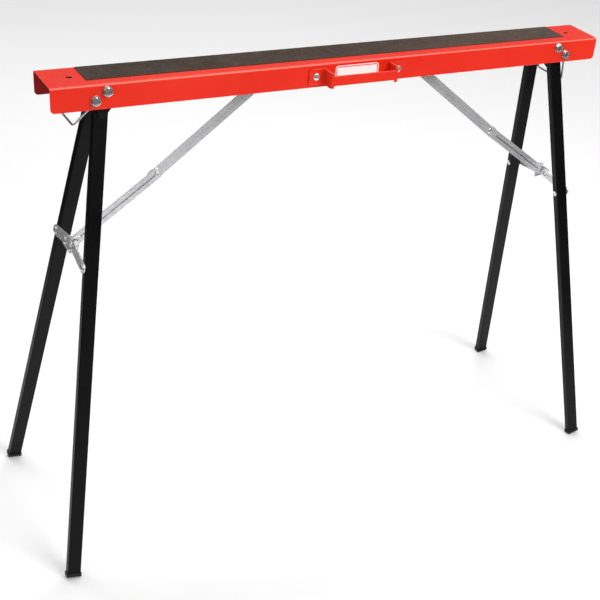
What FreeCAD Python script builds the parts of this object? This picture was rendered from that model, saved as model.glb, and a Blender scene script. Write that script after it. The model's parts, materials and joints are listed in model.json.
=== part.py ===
import FreeCAD, Part
import math
import os
import Sketcher

# Folding sawhorse: a pressed channel beam, four splayed tube legs that fold into the channel,
# a folding spreader and a folding over-centre brace at each end, a carry handle and two wire
# bails. Millimetres. +X runs along the beam to the right end, -Y is the handle side, +Z is up.
# The origin is on the floor under the middle of the beam.

doc = FreeCAD.newDocument("sawhorse")
sheet = doc.addObject("Spreadsheet::Sheet", "sizes")

SIZES = {
    # beam channel
    "beam_length": 1000.0, "beam_width": 81.0, "beam_depth": 38.0, "beam_height": 804.0,
    "beam_wall": 1.6, "beam_bend": 4.0, "beam_corner": 6.0,
    "clamp_hole": 10.5, "clamp_inset": 41.0,
    # anti-slip strip
    "mat_length": 880.0, "mat_front": 20.0, "mat_back": 36.0, "mat_thick": 1.0, "mat_corner": 2.0,
    # carry handle
    "handle_shift": 5.0, "handle_pitch": 151.0, "handle_strip": 25.0, "handle_thick": 3.0,
    "handle_reach": 25.0, "handle_grip": 125.0, "handle_tab": 13.0, "handle_drop": 7.0,
    "handle_bend": 4.0, "handle_crease": 1.5,
    "notch_side": 6.0, "notch_top": 5.5, "notch_bottom": 4.0, "notch_round": 2.5,
    # legs
    "pivot_inset": 85.4, "inner_drop": 19.2, "outer_drop": 16.6, "leg_splay": 0.16,
    "inner_offset": 11.2, "inner_slope": 0.2163, "outer_clear": 14.5, "outer_slope": 0.184,
    "tube_broad": 22.4, "tube_narrow": 13.4, "tube_wall": 1.5, "tube_edge": 1.5, "leg_crown": 5.0,
    "cap_lip": 1.2, "cap_thick": 6.0, "cap_plug": 14.0, "plug_gap": 0.1,
    # leg brackets and their fasteners
    "bracket_thick": 2.0, "bracket_inner": 11.0, "bracket_outer": 32.5, "bracket_bend": 2.8,
    "cheek_gap": 0.5,
    "cheek_outer": 13.0, "cheek_drop": 41.0, "plate_base": 8.0,
    "cheek_shoulder": 0.65, "cheek_side": 0.5, "cheek_foot_in": 0.2, "cheek_foot_out": 0.7,
    "bolt_radius": 3.0, "bolt_gap": 0.2, "thread_fit": 0.05, "head_flats": 13.0,
    "head_thick": 5.0, "nut_thick": 3.0,
    "nut_flats": 11.0, "washer_radius": 8.0, "washer_thick": 1.4, "bolt_proud": 0.3,
    "low_bolt_gap": 7.2, "low_bolt_drop": 24.0, "high_bolt_drop": 11.0,
    "pin_radius": 4.0, "pin_fit": 0.08, "pin_head": 6.5, "pin_head_thick": 1.5,
    "pin_tail": 4.8, "pin_tail_thick": 0.6, "pin_slack": 0.2, "snug_fit": 0.02, "drill_fit": 0.05,
    # spreader
    "rivet_along": 272.0, "strip_width": 18.0, "strip_thick": 2.5, "strip_gap": 0.4,
    "rivet_radius": 3.0, "rivet_fit": 0.08, "rivet_head": 6.0, "rivet_dome": 2.6, "rivet_tail": 5.0,
    "rivet_tail_thick": 1.6, "rivet_slack": 0.2,
    "dome_rim": 0.35, "dome_shoulder": 0.8, "dome_rise": 0.75, "dome_flat": 0.45,
    "middle_half": 13.0, "middle_rise": 7.6, "middle_gap": 2.4, "middle_pin": 2.8, "middle_stub": 1.9,
    "middle_hole": 4.3, "collar_radius": 4.6, "collar_thick": 1.4,
    # brace
    "brace_width": 17.6, "brace_thick": 2.0, "brace_gap": 0.15, "elbow_sag": 4.0,
    "anchor_reach": 129.6, "anchor_drop": 23.8, "anchor_length": 26.0, "anchor_flange": 24.0,
    "brace_tail": 20.0, "ear_length": 10.0, "brace_dome": 1.4, "brace_head": 5.0,
    "ear_start": 1.0, "ear_gap": 0.5, "ear_root": 3.0, "ear_thick": 1.0,
    "tail_radius": 4.2, "tail_thick": 1.0,
    "knee_rim": 0.4, "knee_dome": 1.1, "knee_flat": 0.6,
    "knee_back": 10.5, "knee_rise": 5.0, "yoke_thick": 2.0, "yoke_width": 19.0,
    "yoke_back": 18.0, "yoke_top": 14.0, "gusset_reach": 8.0, "gusset_back": 12.0,
    # wire bails
    "wire_radius": 1.6, "bail_inset": 63.0, "bail_rise": 4.4, "bail_arm": 40.0, "bail_half": 35.0,
    "bail_bend": 5.0, "bail_fit": 0.1, "bail_out": 1.0, "bail_left_angle": 43.0,
    "bail_right_angle": 85.0,
}

for row, (word, number) in enumerate(SIZES.items(), start=1):
    sheet.set("A%d" % row, word)
    sheet.set("B%d" % row, str(number))
    sheet.setAlias("B%d" % row, word)
doc.recompute()


def val(word):
    """The current number of one named size."""
    return float(sheet.get(word))


def vec(x, y, z):
    return FreeCAD.Vector(x, y, z)


# ---------------------------------------------------------------- building helpers

PARTS = []


def publish(obj, label, place=None):
    """Give a finished sub-part its label and place, and list it for export."""
    obj.Label = label
    if place is not None:
        obj.Placement = place
    PARTS.append(obj)
    return obj


def bind(obj, **words):
    """Tie properties of an object to expressions in the sheet's aliases."""
    for prop, words_used in words.items():
        obj.setExpression(prop, words_used)


def expr(text):
    """Turn plain size names in a formula into sheet references."""
    out = []
    word = ""
    for char in text + " ":
        if char.isalnum() or char == "_":
            word += char
            continue
        out.append("sizes." + word if word in SIZES else word)
        out.append(char)
        word = ""
    return "".join(out).strip()


def size(text):
    """Work out a formula of size names with the sheet's present numbers."""
    cell = "D1"
    sheet.set(cell, "=" + " ".join(expr(text).replace("sizes.", "").split()))
    sheet.recompute()
    return float(sheet.get(cell))


def cylinder(name, radius, height, place):
    obj = doc.addObject("Part::Cylinder", name)
    bind(obj, Radius=expr(radius), Height=expr(height))
    obj.Placement = place
    return obj


def join(name, pieces):
    obj = doc.addObject("Part::MultiFuse", name)
    obj.Shapes = pieces
    obj.Refine = True
    return obj


def cut(name, base, tools):
    obj = doc.addObject("Part::Cut", name)
    obj.Base = base
    obj.Tool = tools[0] if len(tools) == 1 else join(name + "_tools", tools)
    obj.Refine = True
    return obj


def group(name, pieces):
    """Equal loose pieces kept as separate solids of one sub-part."""
    obj = doc.addObject("Part::Compound", name)
    obj.Links = pieces
    return obj


def origin_plane(body, role):
    for feature in body.Origin.OriginFeatures:
        if feature.Role == role:
            return feature
    raise ValueError(role)


def new_sketch(body, name, role):
    sketch = body.newObject("Sketcher::SketchObject", name)
    sketch.AttachmentSupport = [(origin_plane(body, role), "")]
    sketch.MapMode = "FlatFace"
    return sketch


def polygon(sketch, points):
    """Closed outline of straight edges through the points."""
    count = len(points)
    for number in range(count):
        start = points[number]
        end = points[(number + 1) % count]
        sketch.addGeometry(Part.LineSegment(vec(start[0], start[1], 0), vec(end[0], end[1], 0)))
    first = sketch.GeometryCount - count
    for number in range(count):
        after = first + (number + 1) % count
        sketch.addConstraint(Sketcher.Constraint("Coincident", first + number, 2, after, 1))


def rectangle(sketch, wide, high):
    """Rectangle centred on the sketch's origin, its two sides tied to the sheet."""
    half_w, half_h = size(wide) / 2, size(high) / 2
    polygon(sketch, [(-half_w, -half_h), (half_w, -half_h), (half_w, half_h), (-half_w, half_h)])
    low = sketch.GeometryCount - 4
    for line, kind in ((low, "Horizontal"), (low + 1, "Vertical"), (low + 2, "Horizontal"),
                       (low + 3, "Vertical")):
        sketch.addConstraint(Sketcher.Constraint(kind, line))
    sketch.addConstraint(Sketcher.Constraint("Symmetric", low, 1, low + 2, 1, -1, 1))
    across = sketch.addConstraint(Sketcher.Constraint("DistanceX", low, 1, low, 2, 2 * half_w))
    sketch.setExpression("Constraints[%d]" % across, expr(wide))
    up = sketch.addConstraint(Sketcher.Constraint("DistanceY", low + 1, 1, low + 1, 2, 2 * half_h))
    sketch.setExpression("Constraints[%d]" % up, expr(high))


def hole(sketch, along, radius):
    """Circle on the sketch's X axis; its radius is tied to the sheet."""
    number = sketch.GeometryCount
    circle = Part.Circle(vec(along, 0, 0), vec(0, 0, 1), size(radius))
    sketch.addGeometry(circle)
    if along == 0:
        sketch.addConstraint(Sketcher.Constraint("Coincident", number, 3, -1, 1))
    else:
        sketch.addConstraint(Sketcher.Constraint("PointOnObject", number, 3, -1))
        sketch.addConstraint(Sketcher.Constraint("DistanceX", -1, 1, number, 3, along))
    around = sketch.addConstraint(Sketcher.Constraint("Radius", number, size(radius)))
    sketch.setExpression("Constraints[%d]" % around, expr(radius))


def slot(sketch, length, radius):
    """Round-ended bar outline from the origin along the sketch's X axis."""
    far, rad = length, size(radius)
    quarter = math.pi / 2
    first = sketch.GeometryCount
    sketch.addGeometry(Part.LineSegment(vec(0, rad, 0), vec(far, rad, 0)))
    end = Part.Circle(vec(far, 0, 0), vec(0, 0, 1), rad)
    sketch.addGeometry(Part.ArcOfCircle(end, -quarter, quarter))
    sketch.addGeometry(Part.LineSegment(vec(far, -rad, 0), vec(0, -rad, 0)))
    start = Part.Circle(vec(0, 0, 0), vec(0, 0, 1), rad)
    sketch.addGeometry(Part.ArcOfCircle(start, quarter, 3 * quarter))
    for one, one_end, other, other_end in ((0, 2, 1, 2), (1, 1, 2, 1), (2, 2, 3, 2), (3, 1, 0, 1)):
        sketch.addConstraint(Sketcher.Constraint(
            "Tangent", first + one, one_end, first + other, other_end))
    sketch.addConstraint(Sketcher.Constraint("Coincident", first + 3, 3, -1, 1))
    sketch.addConstraint(Sketcher.Constraint("PointOnObject", first + 1, 3, -1))
    sketch.addConstraint(Sketcher.Constraint("DistanceX", -1, 1, first + 1, 3, far))
    sketch.addConstraint(Sketcher.Constraint("Equal", first + 1, first + 3))
    around = sketch.addConstraint(Sketcher.Constraint("Radius", first + 3, rad))
    sketch.setExpression("Constraints[%d]" % around, expr(radius))


def pad(body, sketch, name, length):
    feature = body.newObject("PartDesign::Pad", name)
    feature.Profile = sketch
    bind(feature, Length=expr(length))
    doc.recompute()
    return feature


def round_edges(body, name, radius, chosen):
    """Fillet the edges whose middle point passes the test."""
    base = body.Tip
    names = []
    for number, edge in enumerate(base.Shape.Edges, start=1):
        middle = edge.valueAt((edge.FirstParameter + edge.LastParameter) / 2)
        if chosen(middle, edge):
            names.append("Edge%d" % number)
    feature = body.newObject("PartDesign::Fillet", name)
    feature.Base = (base, names)
    bind(feature, Radius=expr(radius))
    doc.recompute()
    return feature


def turned(name, outline):
    """Solid of revolution about Z; outline gives (radius, height) points from the axis."""
    body = doc.addObject("PartDesign::Body", name)
    sketch = new_sketch(body, name + "_profile", "XZ_Plane")
    polygon(sketch, [(0, outline[0][1])] + outline + [(0, outline[-1][1])])
    feature = body.newObject("PartDesign::Revolution", name + "_turn")
    feature.Profile = sketch
    feature.ReferenceAxis = (sketch, ["V_Axis"])
    feature.Angle = 360.0
    doc.recompute()
    return body


def button(head, dome):
    """Outline of a round rivet head that stands on height 0."""
    return [(head, 0.0), (head, val("dome_rim") * dome),
            (val("dome_shoulder") * head, val("dome_rise") * dome),
            (val("dome_flat") * head, dome)]


def rivet(name, shank, grip, head, dome, tail, tail_thick):
    """Round-headed rivet along Z: the head sits above height 0 and the grip runs down from 0."""
    outline = [
        (tail, -grip - tail_thick), (tail, -grip), (shank, -grip), (shank, 0.0),
    ]
    return turned(name, outline + button(head, dome))


def block(name, lengths, corner):
    """Box from its three edge lengths and its lowest corner, all given as size formulas."""
    obj = doc.addObject("Part::Box", name)
    bind(obj, Length=expr(lengths[0]), Width=expr(lengths[1]), Height=expr(lengths[2]))
    obj.setExpression("Placement.Base.x", expr(corner[0]))
    obj.setExpression("Placement.Base.y", expr(corner[1]))
    obj.setExpression("Placement.Base.z", expr(corner[2]))
    doc.recompute()
    return obj


def span(name, low, high):
    """Box between two corners worked out beforehand."""
    obj = doc.addObject("Part::Box", name)
    obj.Length, obj.Width, obj.Height = (high[i] - low[i] for i in range(3))
    obj.Placement.Base = vec(*low)
    return obj


def frame(origin, x_axis, z_axis):
    """Placement whose X and Z axes point along the two given directions."""
    y_axis = z_axis.cross(x_axis)
    return FreeCAD.Placement(origin, FreeCAD.Rotation(x_axis, y_axis, z_axis, "ZXY"))


def prism(name, points, height, place):
    """Straight plate with a polygon outline, its thickness tied to one size."""
    body = doc.addObject("PartDesign::Body", name)
    sketch = new_sketch(body, name + "_outline", "XY_Plane")
    polygon(sketch, points)
    pad(body, sketch, name + "_pad", height)
    body.Placement = place
    return body


# ---------------------------------------------------------------- geometry of one folding end

# Both ends are laid out as the right end; the left end is turned half a turn about Z.
TURNS = {
    "right": FreeCAD.Placement(vec(0, 0, 0), FreeCAD.Rotation(vec(0, 0, 1), 0)),
    "left": FreeCAD.Placement(vec(0, 0, 0), FreeCAD.Rotation(vec(0, 0, 1), 180)),
}
ROOF = val("beam_height") - val("beam_wall")
INSIDE = val("beam_width") / 2 - val("beam_wall")
PIVOT_X = val("beam_length") / 2 - val("pivot_inset")


def side_name(end, side):
    """Front or rear, for a leg on side -1 or +1 of an end laid out as the right end."""
    facing = side if end == "right" else -side
    return "front" if facing < 0 else "rear"


def leg_offset(kind):
    """How far from the beam's middle a leg pivots: inner legs side by side, outer by the walls."""
    if kind == "inner":
        return val("inner_offset")
    return val("beam_width") / 2 - val("outer_clear")


def leg_axes(end, side):
    """Pivot, direction down the leg, inward hinge direction and outward face normal."""
    kind = "outer" if end == "right" else "inner"
    pivot = vec(PIVOT_X, side * leg_offset(kind), val("beam_height") - val(kind + "_drop"))
    down = vec(val("leg_splay"), side * val(kind + "_slope"), -1).normalize()
    tilt = math.atan(val(kind + "_slope"))
    inward = vec(0, -side * math.cos(tilt), -math.sin(tilt))
    outward = down.cross(inward) if side < 0 else inward.cross(down)
    return pivot, down, inward, outward.normalize()


def rivet_point(end, side):
    """Where the spreader's rivet crosses the outward face plane of the spreader strip."""
    pivot, down, inward, outward = leg_axes(end, side)
    rise = val("tube_broad") / 2 + val("strip_gap") + val("strip_thick") / 2
    return pivot + down * val("rivet_along") + outward * rise


def strip_reach(end):
    """Length of a spreader strip between its holes, and its direction on the near side."""
    pivot, down, inward, outward = leg_axes(end, -1)
    start = rivet_point(end, -1)
    gap_y = -val("middle_half") - start.y
    gap_z = val("middle_rise")
    det = inward.y * -down.z + inward.z * down.y
    along = (gap_y * -down.z + gap_z * down.y) / det
    up = (inward.y * gap_z - inward.z * gap_y) / det
    return math.hypot(along, up), along, up


def brace_points(end):
    """Anchor, elbow, knee and yoke centre of one end's brace in the beam's middle plane."""
    pivot, down, inward, outward = leg_axes(end, -1)
    length, along, up = strip_reach(end)
    middle = rivet_point(end, -1) + inward * along - down * up
    lean = math.atan(val("leg_splay"))
    out, high = (math.cos(lean), math.sin(lean)), (-math.sin(lean), math.cos(lean))
    stand = val("strip_thick") / 2 + val("middle_gap") + val("yoke_thick") / 2
    yoke = (middle.x + stand * out[0], middle.z + stand * out[1])
    back, rise = val("knee_back"), val("knee_rise")
    knee = (yoke[0] - back * out[0] + rise * high[0], yoke[1] - back * out[1] + rise * high[1])
    # the same knee with the leg folded flat along the beam
    offset = val("tube_broad") / 2 + val("strip_gap") + val("strip_thick") / 2
    across = -inward.z * offset - pivot.y - val("middle_half")
    swing = math.asin(across / (length * inward.y))
    fold_x = pivot.x - val("rivet_along") + length * math.cos(swing) + rise
    fold_z = pivot.z - inward.y * offset + length * math.sin(swing) * inward.z - stand + back
    anchor = (val("anchor_reach"), val("beam_height") - val("anchor_drop"))
    chord = math.dist(anchor, knee)
    share = (chord + math.dist(anchor, (fold_x, fold_z))) / (2 * chord)
    step = ((knee[0] - anchor[0]) / chord, (knee[1] - anchor[1]) / chord)
    elbow = (anchor[0] + step[0] * chord * share + step[1] * val("elbow_sag"),
             anchor[1] + step[1] * chord * share - step[0] * val("elbow_sag"))
    return {"anchor": anchor, "elbow": elbow, "knee": knee, "yoke": yoke, "out": out,
            "high": high}


def leg_reach(end):
    """Distance from the pivot to the foot's end, so that its lowest corner meets the floor."""
    pivot, down, inward, outward = leg_axes(end, -1)
    edge = val("tube_edge")
    half_broad = val("tube_broad") / 2 + val("cap_lip") - edge
    half_narrow = val("tube_narrow") / 2 + val("cap_lip") - edge
    dip = half_broad * abs(outward.z) + half_narrow * abs(inward.z)
    dip += edge * math.hypot(outward.z, inward.z)
    return (pivot.z - dip) / -down.z


# ---------------------------------------------------------------- beam and what is fixed to it

def wall_hole(name, x, z, radius, side):
    """Drill across one wall of the beam, side -1 for the handle side."""
    start = vec(x, side * (INSIDE - val("beam_wall")), z)
    turn = FreeCAD.Rotation(vec(0, 0, 1), vec(0, side, 0))
    return cylinder(name, radius, "3 * beam_wall", FreeCAD.Placement(start, turn))


def bolt_places():
    """Positions (x, z, side) of the eight bracket bolts."""
    low_x = PIVOT_X + val("tube_broad") / 2 + val("low_bolt_gap")
    places = []
    for turn in (-1, 1):
        for side in (-1, 1):
            for level, x in (("low", low_x), ("high", PIVOT_X)):
                places.append((turn * x, val("beam_height") - val(level + "_bolt_drop"), side))
    return places


def handle_rivet_x():
    return [val("handle_shift") + turn * val("handle_pitch") / 2 for turn in (-1, 1)]


def handle_level():
    return val("beam_height") - val("handle_drop") - val("handle_strip") / 2


def bail_axis():
    """Distance from the middle of the beam, and height, of the bails' pivot line."""
    return (val("beam_length") / 2 - val("bail_inset"),
            val("beam_height") - val("beam_depth") + val("bail_rise"))


def make_beam():
    outer = block("beam_outer", ("beam_length", "beam_width", "beam_depth"),
                  ("-beam_length / 2", "-beam_width / 2", "beam_height - beam_depth"))
    inner = block("beam_inner", ("beam_length", "beam_width - 2 * beam_wall", "beam_depth"),
                  ("-beam_length / 2", "-beam_width / 2 + beam_wall",
                   "beam_height - beam_depth - beam_wall"))
    shell = cut("beam_shell", outer, [inner])
    doc.recompute()
    bent = doc.addObject("Part::Fillet", "beam_bent")
    bent.Base = shell
    chosen = []
    low = val("beam_height") - val("beam_depth")
    for number, edge in enumerate(shell.Shape.Edges, start=1):
        box = edge.BoundBox
        if box.XLength > 1 and box.ZMin > ROOF + 0.1:
            chosen.append((number, val("beam_bend"), val("beam_bend")))
        elif box.XLength > 1 and box.ZMin > low + 1:
            inner_bend = val("beam_bend") - val("beam_wall")
            chosen.append((number, inner_bend, inner_bend))
        elif box.YLength < 2 * val("beam_wall") and box.YLength > 0.1 and box.ZMax < low + 0.1:
            chosen.append((number, val("beam_corner"), val("beam_corner")))
    bent.Edges = chosen
    doc.recompute()
    drills = []
    for turn in (-1, 1):
        x = turn * (val("beam_length") / 2 - val("clamp_inset"))
        place = FreeCAD.Placement(vec(x, 0, ROOF - val("beam_wall")), FreeCAD.Rotation())
        drills.append(cylinder("clamp_drill", "clamp_hole / 2", "3 * beam_wall", place))
    for x, z, side in bolt_places():
        drills.append(wall_hole("bolt_drill", x, z, "bolt_radius + bolt_gap", side))
    for x in handle_rivet_x():
        drills.append(wall_hole("handle_drill", x, handle_level(), "rivet_radius + drill_fit", -1))
    bail_x, bail_z = bail_axis()
    for turn in (-1, 1):
        for side in (-1, 1):
            drills.append(wall_hole("bail_drill", turn * bail_x, bail_z,
                                    "wire_radius + bail_fit", side))
    publish(cut("beam_cut", bent, drills), "beam_channel")


def make_mat():
    slab = block("mat_slab", ("mat_length", "mat_front + mat_back", "mat_thick"),
                 ("-mat_length / 2", "-mat_front", "beam_height"))
    strip = doc.addObject("Part::Fillet", "mat_strip")
    strip.Base = slab
    upright = [number for number, edge in enumerate(slab.Shape.Edges, start=1)
               if edge.BoundBox.ZLength > 0.5 * val("mat_thick")]
    strip.Edges = [(number, val("mat_corner"), val("mat_corner")) for number in upright]
    publish(strip, "grip_mat")


def grip_notch(name, low_z, high_z):
    """Cutter that trims one long edge of the handle's grip and rounds the trimmed corners."""
    half = val("handle_grip") / 2 - val("notch_side")
    thick = val("handle_thick")
    front = -val("beam_width") / 2 - val("handle_reach") - thick
    middle = val("handle_shift")
    blank = span(name + "_blank", (middle - half, front - thick, low_z),
                 (middle + half, front + 2 * thick, high_z))
    doc.recompute()
    cutter = doc.addObject("Part::Fillet", name)
    cutter.Base = blank
    cutter.Edges = [(number, val("notch_round"), val("notch_round"))
                    for number, edge in enumerate(blank.Shape.Edges, start=1)
                    if edge.BoundBox.YLength > thick]
    return cutter


def make_handle():
    body = doc.addObject("PartDesign::Body", "handle_body")
    sketch = new_sketch(body, "handle_path", "XY_Plane")
    thick = val("handle_thick")
    tab_in = val("handle_grip") / 2
    tab_out = val("handle_pitch") / 2 + val("handle_tab")
    reach = val("handle_reach")
    outside = [(-tab_out, 0), (-tab_out, -thick), (-tab_in, -thick), (-tab_in, -reach - thick)]
    inside = [(-tab_in + thick, -reach), (-tab_in + thick, 0)]
    outside += [(-x, y) for x, y in reversed(outside)]
    inside = [(-x, y) for x, y in reversed(inside)] + inside
    polygon(sketch, outside + inside)
    pad(body, sketch, "handle_pad", "handle_strip")

    def at_bend(middle, edge, corners):
        return edge.BoundBox.ZLength > 1 and any(
            math.hypot(middle.x - x, middle.y - y) < 0.01 for x, y in corners)

    def outer_bend(middle, edge):
        corners = [(-tab_in, -reach - thick), (tab_in, -reach - thick),
                   (-tab_in + thick, 0), (tab_in - thick, 0)]
        return at_bend(middle, edge, corners)

    def inner_bend(middle, edge):
        corners = [(-tab_in + thick, -reach), (tab_in - thick, -reach),
                   (-tab_in, -thick), (tab_in, -thick)]
        return at_bend(middle, edge, corners)

    def tab_end(middle, edge):
        return abs(middle.x) > tab_out - 0.01 and edge.BoundBox.YLength > 1
    round_edges(body, "handle_outer_bends", "handle_bend", outer_bend)
    round_edges(body, "handle_inner_bends", "handle_crease", inner_bend)
    round_edges(body, "handle_tab_ends", "handle_bend", tab_end)
    body.Placement.Base = vec(val("handle_shift"), -val("beam_width") / 2,
                              handle_level() - val("handle_strip") / 2)
    drills = []
    for x in handle_rivet_x():
        start = vec(x, -INSIDE, handle_level())
        turn = FreeCAD.Rotation(vec(0, 0, 1), vec(0, -1, 0))
        drills.append(cylinder("handle_hole", "rivet_radius + drill_fit", "2 * handle_thick",
                               FreeCAD.Placement(start, turn)))
    top = handle_level() + val("handle_strip") / 2
    base = handle_level() - val("handle_strip") / 2
    drills.append(grip_notch("notch_above", top - val("notch_top"), top + val("notch_top")))
    drills.append(grip_notch("notch_below", base - 2 * val("notch_bottom"),
                             base + val("notch_bottom")))
    publish(cut("handle_cut", body, drills), "carry_handle")
    rivets = []
    for x in handle_rivet_x():
        grip = val("handle_thick") + val("beam_wall")
        stud = rivet("handle_rivet", val("rivet_radius"), grip, val("rivet_head"),
                     val("rivet_dome"), val("rivet_tail"), val("rivet_tail_thick"))
        face = vec(x, -val("beam_width") / 2 - val("handle_thick"), handle_level())
        stud.Placement = frame(face, vec(1, 0, 0), vec(0, -1, 0))
        rivets.append(stud)
    publish(group("handle_rivet_pair", rivets), "handle_rivets")


def make_bolts():
    bolts, nuts, washers = [], [], []
    plate = val("bracket_thick")
    for x, z, side in bolt_places():
        face = vec(x, side * val("beam_width") / 2, z)
        place = frame(face, vec(1, 0, 0), vec(0, side, 0))
        inner = place.multiply(FreeCAD.Placement(
            vec(0, 0, -val("beam_wall") - plate - val("nut_thick")), FreeCAD.Rotation()))
        washer = cylinder("washer_disc", "washer_radius", "washer_thick", place)
        bore = cylinder("washer_bore", "bolt_radius + bolt_gap", "washer_thick", place)
        washers.append(cut("washer", washer, [bore]))
        head = doc.addObject("Part::Prism", "bolt_head")
        head.Polygon = 6
        bind(head, Circumradius=expr("head_flats / sqrt(3)"), Height=expr("head_thick"))
        head.Placement = place.multiply(FreeCAD.Placement(
            vec(0, 0, val("washer_thick")), FreeCAD.Rotation()))
        length = "washer_thick + beam_wall + bracket_thick + nut_thick + bolt_proud + head_thick / 2"
        shank = cylinder("bolt_shank", "bolt_radius", length, place.multiply(FreeCAD.Placement(
            vec(0, 0, -val("beam_wall") - plate - val("nut_thick") - val("bolt_proud")),
            FreeCAD.Rotation())))
        bolts.append(join("bolt", [head, shank]))
        blank = doc.addObject("Part::Prism", "nut_blank")
        blank.Polygon = 6
        bind(blank, Circumradius=expr("nut_flats / sqrt(3)"), Height=expr("nut_thick"))
        blank.Placement = inner
        thread = cylinder("nut_bore", "bolt_radius + thread_fit", "nut_thick", inner)
        nuts.append(cut("nut", blank, [thread]))
    publish(group("bolt_set", bolts), "bracket_bolts")
    publish(group("nut_set", nuts), "bracket_nuts")
    publish(group("washer_set", washers), "bracket_washers")


def make_bracket(end, side):
    """Bent bracket: a plate bolted to the wall, a roof flange and a cheek beside the leg."""
    pivot, down, inward, outward = leg_axes(end, side)
    thick = val("bracket_thick")
    tag = end + "_" + side_name(end, side)
    low_x, high_x = PIVOT_X - val("bracket_inner"), PIVOT_X + val("bracket_outer")
    base = val("beam_height") - val("beam_depth") + val("plate_base")
    wall_y = sorted((side * (INSIDE - thick), side * INSIDE))
    plate = span("plate_" + tag, (low_x, wall_y[0], base), (high_x, wall_y[1], ROOF))
    # the cheek stands outside an inner leg and inside an outer one
    out_y = vec(0, -inward.y, -inward.z)
    rise = vec(0, -side * abs(inward.z), abs(inward.y))
    near = val("tube_narrow") / 2 + val("cheek_gap")
    start = near if end == "left" else -near - thick
    top = (ROOF - thick / 2 - pivot.z - (start + thick / 2) * abs(inward.z)) / abs(inward.y)
    wide, drop = val("cheek_outer"), val("cheek_drop")
    points = [(-val("bracket_inner"), top), (-val("bracket_inner"), -val("cheek_shoulder") * drop),
              (val("cheek_foot_in") * wide, -drop), (val("cheek_foot_out") * wide, -drop),
              (wide, -val("cheek_side") * drop), (wide, top)]
    # sketch X runs along the beam and sketch Y up the leg; the pad grows along their normal
    normal = vec(1, 0, 0).cross(rise)
    first = start if normal.dot(out_y) > 0 else start + thick
    cheek = prism("cheek_" + tag, points, "bracket_thick",
                  frame(pivot + out_y * first, vec(1, 0, 0), normal))
    edge = abs((pivot + rise * top + out_y * (start + thick / 2)).y) - thick / 2
    flange_y = sorted((side * edge, side * (INSIDE - thick / 2)))
    flange = span("flange_" + tag, (low_x, flange_y[0], ROOF - thick),
                  (PIVOT_X + wide, flange_y[1], ROOF))
    solid = join("bracket_solid_" + tag, [plate, flange, cheek])
    doc.recompute()
    bent = doc.addObject("Part::Fillet", "bracket_bent_" + tag)
    bent.Base = solid
    bent.Edges = [(number, val("bracket_bend"), val("bracket_bend"))
                  for number, edge in enumerate(solid.Shape.Edges, start=1)
                  if edge.BoundBox.ZMin > ROOF - 0.1 and edge.BoundBox.YLength < 0.1
                  and abs(abs(edge.CenterOfMass.y) - INSIDE) < 0.1]
    drills = []
    for x, z, wall in bolt_places():
        if x > 0 and wall == side:
            drills.append(wall_hole("plate_drill", x, z, "bolt_radius + bolt_gap", side))
            drills[-1].Placement.Base.y -= side * thick
    drills.append(cylinder("pin_drill", "pin_radius + snug_fit", "3 * bracket_thick", frame(
        pivot + out_y * (start - thick), vec(1, 0, 0), out_y)))
    publish(cut("bracket_cut_" + tag, bent, drills), "leg_bracket_" + tag, TURNS[end])
    # hinge pin: its head lies against the cheek, its tail keeps the leg on
    facing = out_y if end == "left" else -out_y
    head_at = near + thick
    grip = head_at + val("tube_narrow") / 2 + val("pin_slack")
    pin = rivet("pin_" + tag, val("pin_radius"), grip, val("pin_head"), val("pin_head_thick"),
                val("pin_tail"), val("pin_tail_thick"))
    pin.Placement = TURNS[end].multiply(frame(pivot + facing * head_at, vec(1, 0, 0), facing))
    return pin


def make_anchor(end):
    """Plate that hangs from the roof of the beam and carries the brace's upper end."""
    x, z = brace_points(end)["anchor"]
    half = val("brace_thick") / 2
    wide, long = val("anchor_flange") / 2, val("anchor_length") / 2
    flange = span("anchor_flange_" + end, (x - long, -wide, ROOF - val("bracket_thick")),
                  (x + long, wide, ROOF))
    radius = val("brace_width") / 2
    web = span("anchor_web_" + end, (x - radius, -half, z), (x + radius, half, ROOF - half))
    turn = FreeCAD.Rotation(vec(0, 0, 1), vec(0, 1, 0))
    end_disc = cylinder("anchor_disc_" + end, "brace_width / 2", "brace_thick",
                        FreeCAD.Placement(vec(x, -half, z), turn))
    drill = cylinder("anchor_drill_" + end, "rivet_radius + snug_fit", "4 * brace_thick",
                     FreeCAD.Placement(vec(x, -4 * half, z), turn))
    solid = join("anchor_solid_" + end, [flange, web, end_disc])
    publish(cut("anchor_cut_" + end, solid, [drill]), "brace_anchor_" + end, TURNS[end])
    pin = rivet("anchor_pin_" + end, val("rivet_radius"),
                2 * val("brace_thick") + 2 * val("brace_gap"), val("brace_head"),
                val("brace_dome"), val("tail_radius"), val("tail_thick"))
    pin.Placement = TURNS[end].multiply(frame(vec(x, half, z), vec(1, 0, 0), vec(0, 1, 0)))
    return pin


# ---------------------------------------------------------------- legs

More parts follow.
